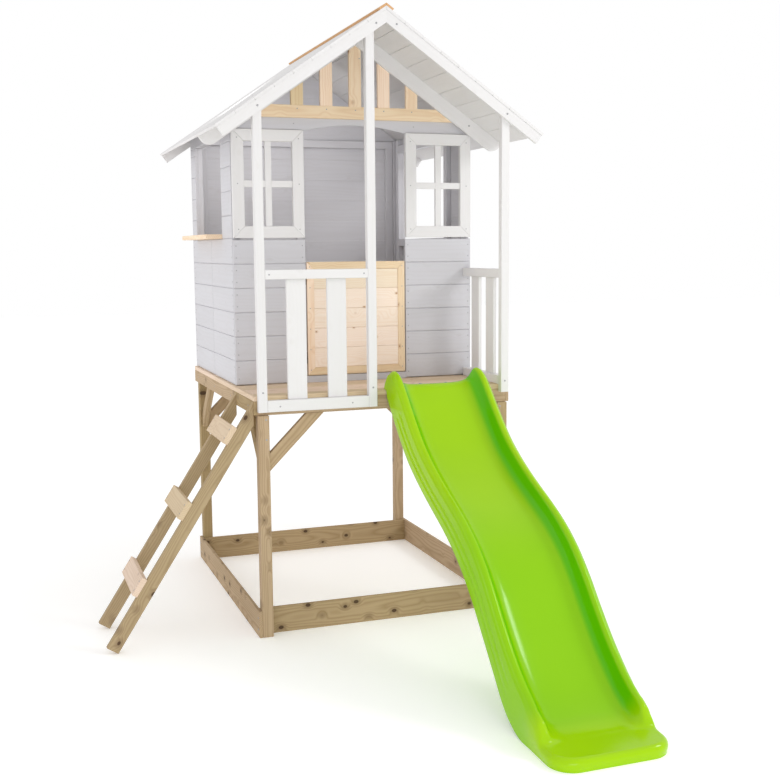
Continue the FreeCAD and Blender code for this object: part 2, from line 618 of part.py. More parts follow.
# ---------------------------------------------------------------- front gable truss
truss_y1 = HOUSE_Y
truss_y0 = truss_y1 - TRUSS_T
tz0 = WALL_TOP - 5.0
tz1 = tz0 + TRUSS_H
wa = min(roof_half_width(tz0), HALF_W)
wb = roof_half_width(tz1)
tie = prism_y([(-wa, tz0), (wa, tz0), (wb, tz1), (-wb, tz1)], truss_y0, truss_y1)
add("gable_tie_beam", [tie.makeChamfer(1.5, tie.Edges)])

truss_slats = []
for i in range(TRUSS_SLATS):
    xc = (i - (TRUSS_SLATS - 1) / 2.0) * TRUSS_PITCH
    xa = xc - TRUSS_SLAT_W / 2.0
    xb = xc + TRUSS_SLAT_W / 2.0
    pts = [(xa, tz1), (xa, under_roof(xa))]
    if xa < 0 < xb:
        pts.append((0.0, under_roof(0.0)))
    pts += [(xb, under_roof(xb)), (xb, tz1)]
    truss_slats.append(prism_y(pts, truss_y0, truss_y1))
add("gable_slats", truss_slats)


# ---------------------------------------------------------------- roof
def barge(side, y0, width, r):
    """One sloping barge board; its lower end is cut square, with a corner of radius r."""
    drop = width / COS_R
    end = ROOF_HALF - 3.0
    sin_r = ROOF_SLOPE * COS_R
    pts = [(0.0, under_roof(0.0, 0.3)), (0.0, under_roof(0.0, 0.3) - drop)]
    low_x = end - width * sin_r
    corner = V(low_x, 0, under_roof(low_x, 0.3) - drop)
    along = V(COS_R, 0, -ROOF_SLOPE * COS_R)
    up = V(sin_r, 0, COS_R)
    centre = corner - along * r + up * r
    for k in range(9):
        a = math.radians(-90.0 + 90.0 * k / 8.0)
        p = centre + along * (r * math.cos(a)) + up * (r * math.sin(a))
        pts.append((p.x, p.z))
    top = centre + along * r + up * (width - r)
    pts.append((top.x, under_roof(top.x, 0.3)))
    return prism_y([(side * x, z) for x, z in pts], y0, y0 + BARGE_T)


for name, y0, width, r in (
    ("front_barge_boards", ROOF_FRONT_Y, BARGE_W, SQUARE_R),
    ("house_barge_boards", truss_y0 - BARGE_T, INNER_BARGE_W, INNER_BARGE_W * 0.72),
    ("rear_barge_boards", HOUSE_REAR_Y, BARGE_W, SQUARE_R),
):
    add(name, [barge(-1, y0, width, r), barge(1, y0, width, r)])

slope_len = ROOF_HALF / COS_R
board_w = slope_len / ROOF_BOARDS
for name, s in (("roof_boards_left", -1), ("roof_boards_right", 1)):
    boards = []
    for i in range(ROOF_BOARDS):
        a = i * board_w + (0.3 if i else 0.4)
        b = (i + 1) * board_w - 0.3
        c = 2.5
        sec = [
            (a + c, 0.0), (a, c), (a, ROOF_BOARD_T - c), (a + c, ROOF_BOARD_T),
            (b - c, ROOF_BOARD_T), (b, ROOF_BOARD_T - c), (b, c), (b - c, 0.0),
        ]
        pts = []
        for u, v in sec:
            x = u * COS_R + v * ROOF_SLOPE * COS_R
            z = UNDER_APEX_Z - u * ROOF_SLOPE * COS_R + v * COS_R
            pts.append((s * x, z))
        if i == 0:
            # the top boards are cut plumb where the slopes meet
            pts = [
                (s * 0.4, UNDER_APEX_Z - ROOF_SLOPE * 0.4),
                (s * 0.4, ROOF_APEX_Z - ROOF_SLOPE * 0.4),
            ] + pts[4:]
        boards.append(prism_y(pts, ROOF_FRONT_Y - 2.0, ROOF_REAR_Y))
    add(name, boards)

cap = []
for s in (-1, 1):
    a = 0.4
    b = CAP_W * COS_R
    low = b - CAP_T * ROOF_SLOPE * COS_R
    top = CAP_T / COS_R
    pts = [
        (s * a, ROOF_APEX_Z - ROOF_SLOPE * a + 0.3),
        (s * a, ROOF_APEX_Z - ROOF_SLOPE * a + top),
        (s * b, ROOF_APEX_Z - ROOF_SLOPE * b + top),
        (s * low, ROOF_APEX_Z - ROOF_SLOPE * low + 0.3),
    ]
    cap.append(prism_y(pts, ROOF_FRONT_Y - 2.0, ROOF_REAR_Y))
add("ridge_cap", cap)

# ---------------------------------------------------------------- ladder
# the rails lean out from the left side of the porch; x of their upper edge at height z
rake = math.hypot(1.0, LADDER_RUN)
top_x = -HALF_W - SIDE_T


def rail_x(z, depth=0.0):
    """x of the line that lies depth below the rails' upper edge, measured square to it."""
    return top_x - (LADDER_TOP_Z - z) * LADDER_RUN + depth * rake


cos_l = LADDER_RUN / rake
sin_l = 1.0 / rake
foot_up = RAIL_W * cos_l
ladder_rails = []
for y0 in LADDER_Y:
    foot_low_x = rail_x(0.0, RAIL_W)
    pts = [
        (top_x, LADDER_TOP_Z),
        (top_x, LADDER_TOP_Z - RAIL_W * rake / LADDER_RUN),
        (foot_low_x, 0.0),
        (foot_low_x - RAIL_W * sin_l, foot_up),
    ]
    r = prism_y(pts, y0, y0 + RAIL_T)
    ladder_rails.append(r.makeChamfer(2.0, [e for e in r.Edges if e.Length > RAIL_W * 2.0]))
add("ladder_rails", ladder_rails)

rungs = []
for zc in RUNG_Z:
    xc = rail_x(zc)
    ax = cos_l
    az = sin_l
    nx = -sin_l
    nz = cos_l
    h = RUNG_W / 2.0
    pts = [
        (xc - ax * h, zc - az * h),
        (xc + ax * h, zc + az * h),
        (xc + ax * h + nx * RUNG_T, zc + az * h + nz * RUNG_T),
        (xc - ax * h + nx * RUNG_T, zc - az * h + nz * RUNG_T),
    ]
    r = prism_y(pts, LADDER_Y[0], LADDER_Y[1] + RAIL_T)
    rungs.append(r.makeChamfer(2.0, r.Edges))
add("ladder_rungs", rungs)

# ---------------------------------------------------------------- wavy slide
# bed line as (y, z, rim height, skirt depth); the skirt of the last stations rests on the ground
BED = (
    (34.0, 1222.0, 34.0, 21.0),
    (12.0, 1223.0, 62.0, 21.5),
    (-12.0, 1217.0, 78.0, 34.0),
    (-42.0, 1197.0, 84.0, 48.0),
    (-90.0, 1153.0, 85.0, 52.0),
    (-156.0, 1088.0, 85.0, 54.0),
    (-240.0, 1008.0, 85.0, 54.0),
    (-330.0, 931.0, 85.0, 52.0),
    (-430.0, 864.0, 85.0, 48.0),
    (-540.0, 803.0, 85.0, 46.0),
    (-655.0, 748.0, 85.0, 46.0),
    (-780.0, 692.0, 85.0, 50.0),
    (-895.0, 632.0, 85.0, 56.0),
    (-1000.0, 559.0, 85.0, 60.0),
    (-1100.0, 464.0, 85.0, 58.0),
    (-1205.0, 346.0, 85.0, 56.0),
    (-1315.0, 232.0, 85.0, 62.0),
    (-1430.0, 137.0, 85.0, 84.0),
    (-1540.0, 79.0, 78.0, 0.0),
    (-1640.0, 56.0, 62.0, 0.0),
    (-1715.0, 50.0, 44.0, 0.0),
    (-1748.0, 50.0, 10.0, 0.0),
    (-1772.0, 51.0, 3.0, 0.0),
)
GROUND_FROM = 18          # stations from here on have a skirt that reaches the ground


def slide_profile(rim, skirt):
    """Half section of the moulding's upper surface, from the middle of the bed to the skirt."""
    k = rim / 85.0
    return [
        (0.0, -3.0), (80.0, -2.2), (134.0, 1.0), (166.0, 3.0 + 8.0 * k), (187.0, 5.0 + 26.0 * k),
        (200.0, 6.0 + 51.0 * k), (206.0, 6.0 + 64.0 * k), (214.0, 6.0 + 75.0 * k), (226.0, 6.0 + 79.0 * k),
        (237.0, 6.0 + 75.0 * k), (243.0, 5.0 + 64.0 * k), (246.0, 3.0 + 40.0 * k), (251.0, 8.0 * k),
        (SLIDE_HALF, -skirt),
    ]


def offset_line(line, d):
    """The line moved sideways by d, into the moulding."""
    out = []
    n = len(line)
    for i in range(n):
        a = line[max(i - 1, 0)]
        b = line[min(i + 1, n - 1)]
        tx = b[0] - a[0]
        tz = b[1] - a[1]
        length = math.hypot(tx, tz)
        out.append((line[i][0] + d * tz / length, line[i][1] - d * tx / length))
    out[0] = (0.0, line[0][1] - d)
    out[-1] = (line[-1][0] - d, line[-1][1])
    return out


def bed_line():
    """The stations with their heights stretched to the deck's height; the foot stays as it is."""
    foot_z = BED[-1][1]
    stretch = (DECK_Z - SLIDE_DRAWN_DECK) / (SLIDE_DRAWN_DECK - foot_z)
    return [(y, z + stretch * max(z - foot_z, 0.0), rim, skirt) for y, z, rim, skirt in BED]


def toe_half(y):
    """Half the foot's width at y, drawn in by its rounded corners."""
    into = TOE_FRONT_Y + TOE_R - y
    if into <= 0.0:
        return SLIDE_HALF
    return SLIDE_HALF - TOE_R + math.sqrt(TOE_R ** 2 - into ** 2)


stations = bed_line()
wires = []
for i, (y, z, rim, skirt) in enumerate(stations):
    a = stations[max(i - 1, 0)]
    b = stations[min(i + 1, len(stations) - 1)]
    ty = b[0] - a[0]
    tz = b[1] - a[1]
    length = math.hypot(ty, tz)
    ny = tz / length
    nz = -ty / length
    if i >= GROUND_FROM:
        skirt = (z - 3.0) / nz
    if i in (0, 1):
        ny = 0.0
        nz = 1.0
    upper = slide_profile(rim, skirt)
    lower = offset_line(upper, SLIDE_SKIN)
    left_upper = [(-u, v) for u, v in upper[1:]]
    left_lower = [(-u, v) for u, v in lower[1:]]
    loop = left_upper[::-1] + upper + lower[::-1] + left_lower
    squeeze = toe_half(y) / SLIDE_HALF
    pts = [V(SLIDE_X + u * squeeze, y + v * ny, z + v * nz) for u, v in loop]
    wires.append(Part.makePolygon(pts + [pts[0]]))
slide = Part.makeLoft(wires, True, False)

# foot: a hollow moulded toe with rounded corners that closes the lower end
TOE_STEPS = 10


def toe_block(inset, z0, z1):
    """The foot's outline seen from above, drawn in by inset and extruded upwards."""
    r = TOE_R - inset
    reach = SLIDE_HALF - TOE_R
    y_mid = TOE_FRONT_Y + TOE_R
    start = math.asin((TOE_BACK_Y - y_mid) / r)
    corner = []
    for k in range(TOE_STEPS + 1):
        a = start + (-math.pi / 2.0 - start) * k / TOE_STEPS
        corner.append((reach + r * math.cos(a), y_mid + r * math.sin(a)))
    pts = [(SLIDE_X + u, y) for u, y in corner]
    pts += [(SLIDE_X - u, y) for u, y in reversed(corner)]
    return prism_z(pts, z0, z1)


toe = toe_block(0.0, 0.0, TOE_TOP)
toe = toe.cut(toe_block(SLIDE_SKIN, -1.0, TOE_TOP - SLIDE_SKIN))
slide = slide.fuse(toe)
corner = V(SLIDE_X - 2.0 * SLIDE_HALF, 2.0 * TOE_FRONT_Y, 0.0)
above_ground = Part.makeBox(4.0 * SLIDE_HALF, -3.0 * TOE_FRONT_Y, 2.0 * DECK_Z, corner)
slide = slide.common(above_ground)
if len(slide.Solids) == 1:
    slide = slide.Solids[0]
add("slide", [slide])

# two bolts hold the slide's lip down on the deck
bolts = []
bolt_z = stations[0][1] - 1.3     # on the bed where the bolts pass
for s in (-1, 1):
    bolts.append(screw(SLIDE_X + s * 70.0, 25.0, bolt_z, UP, 8.0, 3.0))
add("slide_bolts", bolts)

# ---------------------------------------------------------------- screw heads
trim = []
over_post = HALF_W - PORCH_POST_W / 2.0
barge_faces = (
    (ROOF_FRONT_Y, BARGE_W * 0.6, 52.0),
    (truss_y0 - BARGE_T, INNER_BARGE_W * 0.55, 60.0),
)
for y, drop, x_high in barge_faces:
    for s in (-1, 1):
        for x in (x_high, over_post):
            trim.append(screw(s * x, y, under_roof(x) - drop, FRONT, 5.0, 2.2))
for xc, _ in PORCH_POSTS:
    trim.append(screw(xc, PORCH_FRONT_Y, DECK_Z + 20.0, FRONT, 4.5, 1.8))
trim.append(screw(bay_x0 + 62.0, PORCH_FRONT_Y, BOTTOM_RAIL_Z + 26.0, FRONT))
trim.append(screw(bay_x1 - 86.0, PORCH_FRONT_Y, BOTTOM_RAIL_Z + 26.0, FRONT))
for x in (bay_x0 + 20.0, bay_x1 - 20.0):
    trim.append(screw(x, PORCH_FRONT_Y, RAIL_TOP_Z - RAIL_H / 2, FRONT))
add("white_trim_screws", trim)

wall_screws = []
for xa, xb in ((-HALF_W, -DOORWAY_HALF), (DOORWAY_HALF, HALF_W)):
    for i in range(FRONT_ROWS):
        for dz in (32.0, CLAD - 32.0):
            z = WALL_Z + i * CLAD + dz
            for x in (xa + 14.0, xb - 14.0):
                behind_top_rail = side_rail_z0 - 6.0 < z < side_rail_z0 + RAIL_H + 6.0
                behind_rail = z < DECK_Z + RAIL_H + 6.0 or behind_top_rail
                if not (x > side_x0 and behind_rail):
                    wall_screws.append(screw(x, HOUSE_Y, z, FRONT, 3.2, 1.2))
for x in (HALF_W - 40.0, DOORWAY_HALF + 50.0):
    for s in (-1, 1):
        wall_screws.append(screw(s * x, HOUSE_Y, WINDOW_Z1 + WINDOW_HEAD / 2.0, FRONT, 3.2, 1.2))
add("front_wall_screws", wall_screws)

side_screws = []
for s, axis in ((-1, LEFT), (1, RIGHT)):
    for i in range(FRONT_ROWS):
        for dz in (34.0, CLAD - 34.0):
            z = WALL_Z + i * CLAD + dz
            for y in (SIDE_Y0 + 20.0, SIDE_Y1 - 20.0):
                side_screws.append(screw(s * HALF_W, y, z, axis, 3.2, 1.2))
add("side_wall_screws", side_screws)

window_screws = []
wy = HOUSE_Y + WALL_T - WINDOW_T
for x0 in (-HALF_W + WINDOW_GAP, HALF_W - WINDOW_GAP - WINDOW_W):
    for dx in (26.0, WINDOW_W - 26.0):
        for z in (WINDOW_Z0 + 44.0, WINDOW_Z1 - 44.0, (WINDOW_Z0 + WINDOW_Z1) / 2.0):
            window_screws.append(screw(x0 + dx, wy, z, FRONT, 3.0, 1.2))
add("window_screws", window_screws)

door_screws = []
for x in (door_x0 + 15.0, door_x1 - 15.0):
    for i in range(DOOR_ROWS + 1):
        z = DOOR_Z0 + 26.0 + i * (DOOR_Z1 - DOOR_Z0 - 52.0) / DOOR_ROWS
        door_screws.append(screw(x, door_y0, z, FRONT, 2.6, 1.0))
for zc in hinge_z:
    for dz in (-18.0, 18.0):
        door_screws.append(screw(door_x0 + 22.0, door_y1 + HINGE_LEAF_T, zc + dz, BACK, 3.0, 1.2))
add("door_screws", door_screws)

base_screws = []
for s in (-1, 1):
    xc = s * (HALF_W - POST / 2.0)
    for z in (BEAM_BOT - 20.0, BEAM_BOT - 118.0):
        base_screws.append(screw(xc - s * 12.0, 0.0, z, FRONT, 4.5, 1.8))
    axis = LEFT if s < 0 else RIGHT
    for y in (27.0, TOWER_D - 27.0):
        for z in (38.0, GROUND_H - 38.0):
            base_screws.append(screw(s * (HALF_W + SIDE_T), y, z, axis, 5.0, 2.0))
    for y in (HOUSE_Y * 0.3, HOUSE_Y + 85.0, TOWER_D * 0.62, TOWER_D - 120.0):
        base_screws.append(screw(s * (HALF_W + SIDE_T), y, BEAM_TOP - 34.0, axis, 4.0, 1.6))
add("base_screws", base_screws)

rung_screws = []
for zc in RUNG_Z:
    for y0 in LADDER_Y:
        for d in (-24.0, 24.0):
            x = rail_x(zc) + cos_l * d - sin_l * RUNG_T
            z = zc + sin_l * d + cos_l * RUNG_T
            rung_screws.append(screw(x, y0 + RAIL_T / 2.0, z, V(-sin_l, 0, cos_l), 4.0, 1.6))
add("rung_screws", rung_screws)

truss_screws = []
for i in range(TRUSS_SLATS):
    xc = (i - (TRUSS_SLATS - 1) / 2.0) * TRUSS_PITCH
    truss_screws.append(screw(xc, truss_y0, tz1 - 18.0, FRONT, 3.2, 1.2))
truss_screws.append(screw(24.0, truss_y0, under_roof(0) - 150.0, FRONT, 3.2, 1.2))
add("gable_screws", truss_screws)

# ---------------------------------------------------------------- move to the part's frame and write
whole = Part.makeCompound(list(pieces.values()))
bb = whole.optimalBoundingBox(False, False)
SHIFT = V(-(bb.XMin + bb.XMax) / 2.0, -(bb.YMin + bb.YMax) / 2.0, -bb.ZMin)
print("SHIFT", round(SHIFT.x, 3), round(SHIFT.y, 3), round(SHIFT.z, 3))
print("SIZE", round(bb.XLength, 2), round(bb.YLength, 2), round(bb.ZLength, 2))
os.makedirs("parts", exist_ok=True)
for name, shape in pieces.items():
    moved = shape.copy()
    moved.translate(SHIFT)
    moved.exportStep("parts/" + name + ".step")
print("PIVOT", round(PIVOT_X + SHIFT.x, 3), round(PIVOT_Y + SHIFT.y, 3), "nodes", len(pieces))
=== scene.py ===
import math
import random

import bmesh
import bpy
from mathutils import Matrix, Vector


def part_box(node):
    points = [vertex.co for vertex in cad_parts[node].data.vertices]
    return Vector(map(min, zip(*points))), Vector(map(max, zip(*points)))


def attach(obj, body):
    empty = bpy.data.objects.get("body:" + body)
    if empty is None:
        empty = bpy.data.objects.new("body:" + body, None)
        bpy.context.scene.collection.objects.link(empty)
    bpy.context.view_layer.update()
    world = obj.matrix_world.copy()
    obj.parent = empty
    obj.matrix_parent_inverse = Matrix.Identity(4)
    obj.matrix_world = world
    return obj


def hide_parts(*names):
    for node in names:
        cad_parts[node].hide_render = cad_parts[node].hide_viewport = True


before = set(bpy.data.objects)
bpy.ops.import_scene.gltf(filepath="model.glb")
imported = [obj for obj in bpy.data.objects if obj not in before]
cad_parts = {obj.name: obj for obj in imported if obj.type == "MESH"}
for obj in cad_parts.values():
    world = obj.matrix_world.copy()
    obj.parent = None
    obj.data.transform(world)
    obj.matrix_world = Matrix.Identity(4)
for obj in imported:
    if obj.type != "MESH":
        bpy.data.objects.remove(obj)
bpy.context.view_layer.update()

# The camera stands in front of the porch, a little to the left of the tower, at the eye height
# of a grown-up, and looks slightly down.
tower_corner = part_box("tower_posts")[0]
camera_data = bpy.data.cameras.new("camera")
camera_data.sensor_width = 36.0
camera_data.lens = 52.454
camera = bpy.data.objects.new("camera", camera_data)
bpy.context.scene.collection.objects.link(camera)
tilt, roll, turn = -0.1228, -0.0087, 0.3424
ahead = Vector((math.sin(turn) * math.cos(tilt), math.cos(turn) * math.cos(tilt), math.sin(tilt)))
level = Vector((math.cos(turn), -math.sin(turn), 0.0))
above = level.cross(ahead)
right = level * math.cos(roll) + above * math.sin(roll)
above = above * math.cos(roll) - level * math.sin(roll)
stand = Vector((tower_corner.x, tower_corner.y, 0.0)) + Vector((-1.2190, -5.3149, 1.8963))
aim = Matrix((right, above, -ahead)).transposed()
camera.matrix_world = Matrix.Translation(stand) @ aim.to_4x4()
bpy.context.scene.camera = camera

# The studio: a plain white floor and a white surround, with three soft lights outside and one in
# the house, so that the colours show as they are and the shadows stay faint.
bpy.context.scene.view_settings.view_transform = "Standard"
floor_mesh = bpy.data.meshes.new("studio_floor")
FLOOR_HALF = 30.0
floor_corners = [(x * FLOOR_HALF, y * FLOOR_HALF, 0.0) for x, y in ((-1, -1), (1, -1), (1, 1), (-1, 1))]
floor_mesh.from_pydata(floor_corners, [], [(0, 1, 2, 3)])
studio_floor = bpy.data.objects.new("studio_floor", floor_mesh)
bpy.context.scene.collection.objects.link(studio_floor)
floor_paint = bpy.data.materials.new("studio_floor")
floor_paint.use_nodes = True
floor_shader = floor_paint.node_tree.nodes["Principled BSDF"]
floor_shader.inputs["Base Color"].default_value = (0.97, 0.97, 0.97, 1.0)
floor_shader.inputs["Roughness"].default_value = 0.9
floor_shader.inputs["Emission Color"].default_value = (1.0, 1.0, 1.0, 1.0)
floor_shader.inputs["Emission Strength"].default_value = 0.19
floor_mesh.materials.append(floor_paint)

surround = bpy.data.worlds.new("studio")
surround.use_nodes = True
surround.node_tree.nodes["Background"].inputs["Color"].default_value = (1.0, 1.0, 1.0, 1.0)
surround_ray = surround.node_tree.nodes.new("ShaderNodeLightPath")
surround_strength = surround.node_tree.nodes.new("ShaderNodeMapRange")
# the surround lights the playhouse a little less than it shows behind it
surround_strength.inputs["To Min"].default_value = 0.88
surround_strength.inputs["To Max"].default_value = 1.0
surround.node_tree.links.new(surround_ray.outputs["Is Camera Ray"], surround_strength.inputs["Value"])
surround.node_tree.links.new(surround_strength.outputs["Result"],
                             surround.node_tree.nodes["Background"].inputs["Strength"])
bpy.context.scene.world = surround


def soft_light(name, place, aim_at, size, power, spread=180.0):
    """A square soft light that faces a point."""
    data = bpy.data.lights.new(name, "AREA")
    data.shape = "SQUARE"
    data.size = size
    data.energy = power
    data.spread = math.radians(spread)
    lamp = bpy.data.objects.new(name, data)
    lamp.location = place
    lamp.rotation_euler = (Vector(aim_at) - Vector(place)).to_track_quat("-Z", "Y").to_euler()
    bpy.context.scene.collection.objects.link(lamp)


soft_light("left_side", (-5.0, 1.3, 2.2), (-0.4, 1.2, 1.9), size=2.0, power=6, spread=50.0)
soft_light("key_right", (4.6, -2.6, 4.2), (0.2, 0.0, 1.2), size=1.4, power=82)
soft_light("front_low", (-1.0, -7.0, 0.8), (0.3, 0.5, 1.6), size=3.0, power=100)
# known fault: this lamp is too large for its height, and a corner of it comes out through the left
# slope of the roof, where it leaves a bright patch
soft_light("indoors", (0.0, 0.9, 2.6), (0.0, 2.0, 1.6), size=0.7, power=4.5)

# The tower: square pressure-treated pine posts, boards on edge round the foot, and beams, joists
# and knee braces under the deck. The wood is planed, pale green-brown, with dark knots.
# an edge counts as a board's arris where its faces meet at more than this, in radians
SHARP_ANGLE = 0.3
# the length of log that boards are taken from, and how far from its heart they may lie
LOG_LENGTH = 40.0
HEART_ACROSS = 0.06
HEART_DEPTH = (0.015, 0.07)


def boards_of(mesh):
    """For each separate board in a node's mesh: its faces, its middle and its own three directions."""
    work = bmesh.new()
    work.from_mesh(mesh)
    number = work.faces.layers.int.new("number")
    for face in work.faces:
        face[number] = face.index
    bmesh.ops.remove_doubles(work, verts=work.verts, dist=1e-5)
    work.faces.ensure_lookup_table()
    work.normal_update()
    found = []
    seen = set()
    for first in work.faces:
        if first.index in seen:
            continue
        seen.add(first.index)
        board, waiting = [], [first]
        while waiting:
            face = waiting.pop()
            board.append(face)
            for edge in face.edges:
                if len(edge.link_faces) == 2:
                    for other in edge.link_faces:
                        if other.index not in seen:
                            seen.add(other.index)
                            waiting.append(other)
        arrises = [e for f in board for e in f.edges
                   if len(e.link_faces) == 2 and e.calc_face_angle(0.0) > SHARP_ANGLE]
        longest = max(arrises or [e for f in board for e in f.edges], key=lambda e: e.calc_length())
        along = (longest.verts[1].co - longest.verts[0].co).normalized()
        if along.x + along.y + along.z < 0:
            along = -along
        broad = max(board, key=lambda f: f.calc_area() * (1.0 - abs(f.normal.dot(along))))
        thick = (broad.normal - along * broad.normal.dot(along)).normalized()
        across = thick.cross(along)
        points = dict.fromkeys(v for f in board for v in f.verts)
        middle = sum((v.co for v in points), Vector()) / len(points)
        found.append(([f[number] for f in board], middle, along, across, thick))
    work.free()
    return found


def lay_grain(name):
    """Notes on every board of a node where its wood lay in the log; its grain runs lengthways."""
    draw = random.Random(name)
    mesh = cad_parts[name].data
    in_log = mesh.attributes.new("in_log", "FLOAT_VECTOR", "CORNER")
    tone = mesh.attributes.new("tone", "FLOAT", "FACE")
    for faces, middle, along, across, thick in boards_of(mesh):
        start = Vector((draw.uniform(0, LOG_LENGTH), draw.uniform(-HEART_ACROSS, HEART_ACROSS),
                        draw.uniform(*HEART_DEPTH)))
        own_tone = draw.random()
        for number in faces:
            tone.data[number].value = own_tone
            for corner in mesh.polygons[number].loop_indices:
                p = mesh.vertices[mesh.loops[corner].vertex_index].co - middle
                in_log.data[corner].vector = start + Vector((p.dot(along), p.dot(across), p.dot(thick)))


def put(tree, kind, feeds=None, **settings):
    """A shader node with its settings, and its inputs fed by values or by other nodes' outputs."""
    made = tree.nodes.new(("" if kind.startswith("NodeGroup") else "ShaderNode") + kind)
    for key, value in settings.items():
        setattr(made, key, value)
    for socket, value in (feeds or {}).items():
        if isinstance(value, bpy.types.NodeSocket):
            tree.links.new(value, made.inputs[socket])
        else:
            made.inputs[socket].default_value = value
    return made


def sums(tree, operation, a, b=0.0, c=0.0):
    """The result of one step of arithmetic on values or outputs."""
    feeds = {0: a, 1: b}
    if operation == "MULTIPLY_ADD":
        feeds[2] = c
    return put(tree, "Math", feeds, operation=operation).outputs[0]


def fade(tree, value, start, end, low=0.0, high=1.0):
    """The value carried smoothly from one range to another."""
    made = put(tree, "MapRange", {"Value": value, "From Min": start, "From Max": end,
                                  "To Min": low, "To Max": high}, interpolation_type="SMOOTHSTEP")
    return made.outputs["Result"]


def mixed(tree, amount, first, second, way="MIX"):
    """Two colours mixed by an amount."""
    return put(tree, "Mix", {0: amount, 6: first, 7: second}, data_type="RGBA", blend_type=way).outputs[2]


# where the wood lay in the log gives its growth rings, its fibre, its knots and slow changes of tone
growth = bpy.data.node_groups.new("Pine Growth", "ShaderNodeTree")
for label, kind in (("In Log", "NodeSocketVector"), ("Ring Width", "NodeSocketFloat"),
                    ("Wander", "NodeSocketFloat"), ("Knot Size", "NodeSocketFloat")):
    growth.interface.new_socket(label, in_out="INPUT", socket_type=kind)
for label in ("Rings", "Fibre", "Knot", "Knot Shade", "Cloud"):
    growth.interface.new_socket(label, in_out="OUTPUT", socket_type="NodeSocketFloat")
log = put(growth, "NodeGroupInput")
made_of = put(growth, "NodeGroupOutput")


def stretched(tree, vector, scale):
    """The vector times a scale on each of its axes."""
    return put(tree, "VectorMath", {0: vector, 1: scale}, operation="MULTIPLY").outputs[0]


slow = put(growth, "TexNoise", {"Vector": stretched(growth, log.outputs["In Log"], (0.9, 4.0, 4.0)),
                                "Scale": 1.6, "Detail": 2.0})
fine = put(growth, "TexNoise", {"Vector": stretched(growth, log.outputs["In Log"], (7.0, 260.0, 260.0)),
                                "Scale": 1.0, "Detail": 3.0, "Roughness": 0.6})
cloud = put(growth, "TexNoise", {"Vector": stretched(growth, log.outputs["In Log"], (1.0, 7.0, 7.0)),
                                 "Scale": 2.2, "Detail": 3.0})
branch = put(growth, "TexVoronoi", {"Vector": stretched(growth, log.outputs["In Log"], (0.72, 1.0, 0.4)),
                                    "Scale": 11.5, "Randomness": 1.0})
apart = put(growth, "SeparateXYZ", {0: log.outputs["In Log"]})
radius = sums(growth, "SQRT", sums(growth, "ADD", sums(growth, "POWER", apart.outputs[1], 2.0),
                                   sums(growth, "POWER", apart.outputs[2], 2.0)))
wobble = sums(growth, "MULTIPLY", sums(growth, "SUBTRACT", slow.outputs["Fac"], 0.5), log.outputs["Wander"])
pushed = fade(growth, branch.outputs["Distance"], 0.0, 0.42, 0.016, 0.0)
ring_at = sums(growth, "DIVIDE", sums(growth, "ADD", sums(growth, "ADD", radius, wobble), pushed),
               log.outputs["Ring Width"])
rings = sums(growth, "POWER", sums(growth, "PINGPONG", ring_at, 1.0), 1.8)
knot = fade(growth, branch.outputs["Distance"], log.outputs["Knot Size"],
            sums(growth, "MULTIPLY", log.outputs["Knot Size"], 0.72))
knot_shade = fade(growth, branch.outputs["Distance"], sums(growth, "MULTIPLY", log.outputs["Knot Size"], 2.6),
                  log.outputs["Knot Size"])
for label, value in (("Rings", rings), ("Fibre", fine.outputs["Fac"]), ("Knot", knot),
                     ("Knot Shade", knot_shade), ("Cloud", cloud.outputs["Fac"])):
    growth.links.new(value, made_of.inputs[label])


def finish_coat(name):
    """A new material, its node tree and its Principled shader."""
    made = bpy.data.materials.new(name)
    made.use_nodes = True
    return made, made.node_tree, made.node_tree.nodes["Principled BSDF"]


def raised(tree, shader, height, depth, strength=1.0):
    """A bump of the given depth in metres on the shader's normal."""
    bump = put(tree, "Bump", {"Height": height, "Distance": depth, "Strength": strength})
    tree.links.new(bump.outputs["Normal"], shader.inputs["Normal"])


